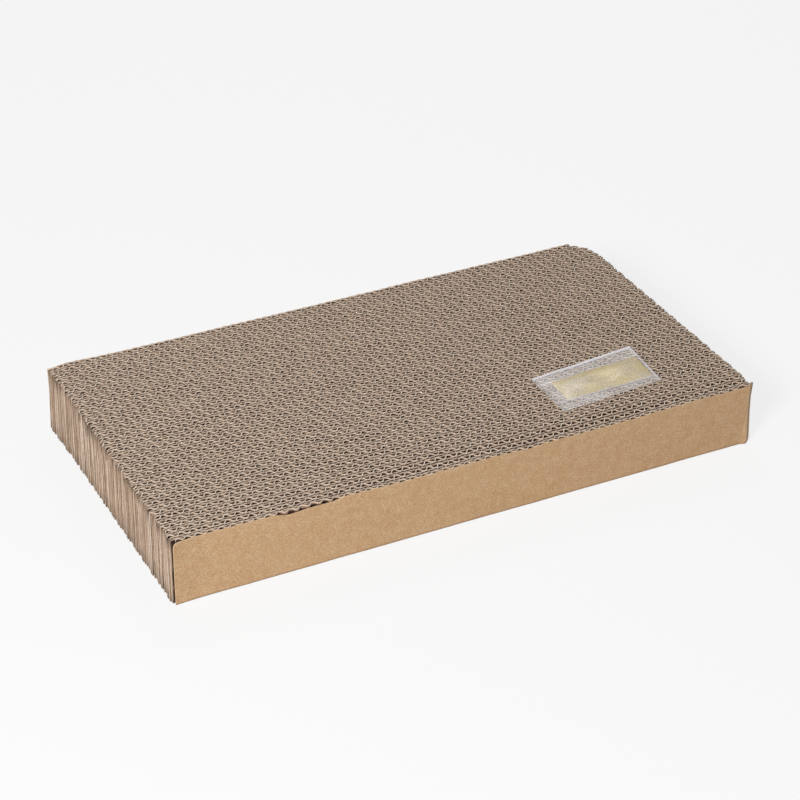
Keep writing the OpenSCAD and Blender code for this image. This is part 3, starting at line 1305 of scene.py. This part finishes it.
        def mound(across: float, up: float) -> Vector:
            """Place a point of the powder's top.

            Args:
                across: share along the bed.
                up: share across it, from front to rear.

            Returns:
                The point, in millimetres.
            """
            start, end, front, rear = self.powder_chamber
            front_slant, rear_slant = self.rims_slant
            s = start + across * (end - start)
            near, far = front - front_slant * across, rear - rear_slant * across
            t = near + up * (far - near)
            place = self.spot(s, t)
            height = self.lie(place.x, place.y) + self.powder_top
            full = self.swell(s, t) * (0.93 + 0.25 * ripple(s * 7, t * 4, 3.0))
            grains = 0.12 * ripple(place.x / 0.8, place.y / 0.8, 0.5)
            height += (self.fill_height - self.headroom) * full + grains
            return Vector((place.x, place.y, height))

        add_sheet(bm, 150, 60, mound, lambda across, up: (across, up), uv_name="pouch")
        grown = bmesh.ops.extrude_face_region(bm, geom=bm.faces[:])
        for item in grown["geom"]:
            if isinstance(item, bmesh.types.BMVert):
                item.co.z = self.lie(item.co.x, item.co.y) + self.powder_foot
        bmesh.ops.recalc_face_normals(bm, faces=bm.faces[:])
        finish_piece(bm, "catnip_powder", "sachet", ["catnip_fill"], [material])

    def build(self, film: bpy.types.Material, powder: bpy.types.Material) -> None:
        """Make the whole pouch.

        Args:
            film: the films' finish.
            powder: the powder's finish.
        """
        self.film("sachet_back_sheet", "sachet_back_film", 0.0, film)
        self.powder(powder)
        self.film("sachet_front_sheet", "sachet_front_film", 1.0, film)


@dataclass
class Studio:
    """A white sweep under a soft overcast light, and the camera at the photograph's angle."""

    azimuth: float = -26.3471
    elevation: float = 31.9773
    roll: float = 0.1292
    lens: float = 105.907
    eye: Vector = Vector((-617.28, -1248.86, 898.02))
    floor_white: str = "#F0F0F0"
    background: str = "#F7F7F7"
    shadow_share: float = 0.18
    floor_glow: float = 1.055
    sky: float = 0.2
    lamp: Vector = Vector((-1.4, -1.18, 1.18))
    lamp_power: float = 42.0
    lamp_size: float = 0.5
    back_lamp: Vector = Vector((0.68, 1.37, 1.5))
    back_power: float = 7.5
    back_size: float = 0.7

    def camera(self) -> None:
        """Set the camera where the photograph was taken from."""
        data = bpy.data.cameras.new("camera")
        data.lens = self.lens
        data.sensor_width = 36.0
        camera = bpy.data.objects.new("camera", data)
        turn = Matrix.Rotation(math.radians(self.azimuth), 4, "Z")
        tilt = Matrix.Rotation(math.radians(90 - self.elevation), 4, "X")
        spin = Matrix.Rotation(math.radians(self.roll), 4, "Z")
        camera.matrix_world = Matrix.Translation(self.eye * MM) @ turn @ tilt @ spin
        bpy.context.scene.collection.objects.link(camera)
        bpy.context.scene.camera = camera

    def seen(self, tree: bpy.types.NodeTree) -> bpy.types.NodeSocket:
        """Tell the rays that look at the background from those that carry light.

        Args:
            tree: the node tree of the floor or the sky.

        Returns:
            1 on rays from the camera, a mirror image or a clear film, and 0 on all others.
        """
        path = add_node(tree, "ShaderNodeLightPath").outputs
        mirrored = combine(tree, "MAXIMUM", path["Is Glossy Ray"], path["Is Transmission Ray"])
        return combine(tree, "MAXIMUM", path["Is Camera Ray"], mirrored)

    def floor(self) -> None:
        """Lay the white floor, which keeps a faint part of the object's soft shadow."""
        bm = bmesh.new()
        bmesh.ops.create_grid(bm, x_segments=1, y_segments=1, size=4)
        mesh = bpy.data.meshes.new("floor")
        bm.to_mesh(mesh)
        bm.free()
        floor = bpy.data.objects.new("floor", mesh)
        floor.location.z = -0.0002
        bpy.context.scene.collection.objects.link(floor)
        material, tree, output = empty_material("studio floor")
        ground = add_node(tree, "ShaderNodeBsdfDiffuse", {"Color": linear(self.floor_white)})
        white = add_node(tree, "ShaderNodeEmission", {
            "Color": linear(self.background), "Strength": self.floor_glow})
        plain = add_node(tree, "ShaderNodeMixShader", {
            0: 1 - self.shadow_share, 1: ground.outputs[0], 2: white.outputs[0]})
        shader = add_node(tree, "ShaderNodeMixShader", {
            0: self.seen(tree), 1: ground.outputs[0], 2: plain.outputs[0]})
        tree.links.new(shader.outputs[0], output.inputs[0])
        mesh.materials.append(material)

    def lights(self) -> None:
        """Light the object with an even sky, a soft lamp at the left and one behind it."""
        world = bpy.data.worlds.new("studio sky")
        world.use_nodes = True
        tree = world.node_tree
        tree.nodes.clear()
        sky = add_node(tree, "ShaderNodeBackground", {
            "Color": (1.0, 1.0, 1.0, 1.0), "Strength": self.sky})
        white = add_node(tree, "ShaderNodeBackground", {"Color": linear(self.background)})
        both = add_node(tree, "ShaderNodeMixShader", {
            0: self.seen(tree), 1: sky.outputs[0], 2: white.outputs[0]})
        add_node(tree, "ShaderNodeOutputWorld", {0: both.outputs[0]})
        bpy.context.scene.world = world
        for name, place, power, size in (
            ("left soft box", self.lamp, self.lamp_power, self.lamp_size),
            ("back soft box", self.back_lamp, self.back_power, self.back_size),
        ):
            data = bpy.data.lights.new(name, "AREA")
            data.energy = power
            data.size = size
            lamp = bpy.data.objects.new(name, data)
            aim = (-place).to_track_quat("-Z", "Y").to_matrix().to_4x4()
            lamp.matrix_world = Matrix.Translation(place) @ aim
            bpy.context.scene.collection.objects.link(lamp)

    def build(self) -> None:
        """Set up camera, floor, lights and the plain view."""
        self.camera()
        self.floor()
        self.lights()
        bpy.context.scene.view_settings.view_transform = "Standard"


def main() -> None:
    """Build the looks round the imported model."""
    logging.basicConfig(level=logging.INFO, format="%(name)s: %(message)s")
    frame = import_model()
    Studio().build()

    board = DoubleWallBoard()
    low, high = (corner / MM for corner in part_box("strip_01"))
    front = high.y - (board.thickness() - board.outer_crush)
    strips = sorted(name for name in frame["nodes"] if name.startswith("strip_"))
    boxes = [[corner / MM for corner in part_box(name)] for name in strips]
    ends = [((low.y + high.y) / 2, high.x) for low, high in boxes]
    ends[0] = (front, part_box("front_kraft_face")[1].x / MM - 0.5)
    wear = PadWear(half_length=(high.x - low.x) / 2, half_width=-front, height=high.z,
                   right_ends=tuple(ends))
    papers = [RecycledBoardPaper().material(),
              RecycledBoardPaper("board liner", face="#A88B72", frayed="#D2BDA9").material(),
              CutPaperEdge().material(),
              CutPaperEdge("cut liner edge", pale="#EFDCC8", dull="#C8AF98").material()]
    for number, (low, high) in enumerate(boxes, start=1):
        CorrugatedStrip(
            number, low.x, high.x, front if number == 1 else low.y, wear, board,
            is_first=number == 1, is_last=number == len(strips),
        ).build(papers)

    kraft = [KraftPaper().material(),
             KraftPaper("kraft cut edge", brown="#D9BE98", pale="#E3CDAE").material()]
    for side, node in ((Side.FRONT, "front_kraft_face"), (Side.REAR, "rear_kraft_face")):
        low, high = (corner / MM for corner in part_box(node))
        KraftSheet(side, node, low.x, high.x, wear.half_width - board.liner, wear).build(kraft)

    Sachet(base=wear.height).build(ClearFilm().material(), GroundCatnip().material())


if __name__ == "__main__":
    main()
